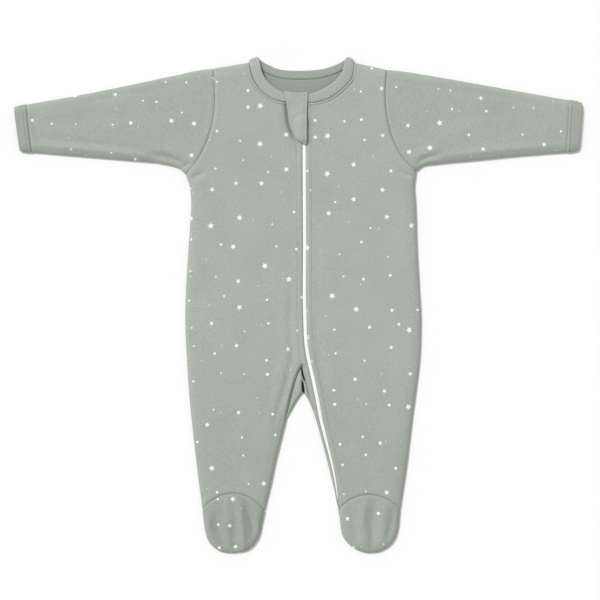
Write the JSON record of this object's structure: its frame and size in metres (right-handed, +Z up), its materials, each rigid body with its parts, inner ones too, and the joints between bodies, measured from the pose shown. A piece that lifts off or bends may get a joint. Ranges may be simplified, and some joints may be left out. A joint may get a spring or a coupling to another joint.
{
  "type": "baby sleepsuit",
  "caption": "Long-sleeved footed baby sleepsuit in sage jersey with a white star and dot print and a zip down the left leg, laid flat on its back.",
  "frame": {"origin": "centre of the garment's bounding box, on the surface it lies on", "axes": "+X to the wearer's left sleeve, +Y to the neck, +Z up from the surface; the front faces up"},
  "size_m": [0.626, 0.545, 0.0098],
  "materials": {
    "jersey": "matt sage cotton jersey with a white print",
    "plain_jersey": "matt plain sage jersey, doubled",
    "zip": "white nylon coil on woven tape",
    "slider": "white enamelled slider"
  },
  "bodies": {
    "root": {"back": "jersey", "front_right": "jersey", "front_left": "jersey", "sleeve_right": "jersey", "sleeve_left": "jersey", "foot_top_right": "jersey", "foot_top_left": "jersey", "sole_right": "jersey", "sole_left": "jersey", "cuff_right": "plain_jersey", "cuff_left": "plain_jersey", "neck_binding": "plain_jersey", "zip_guard": "plain_jersey", "zip": "zip", "zip_slider": "slider"}
  },
  "joints": []
}
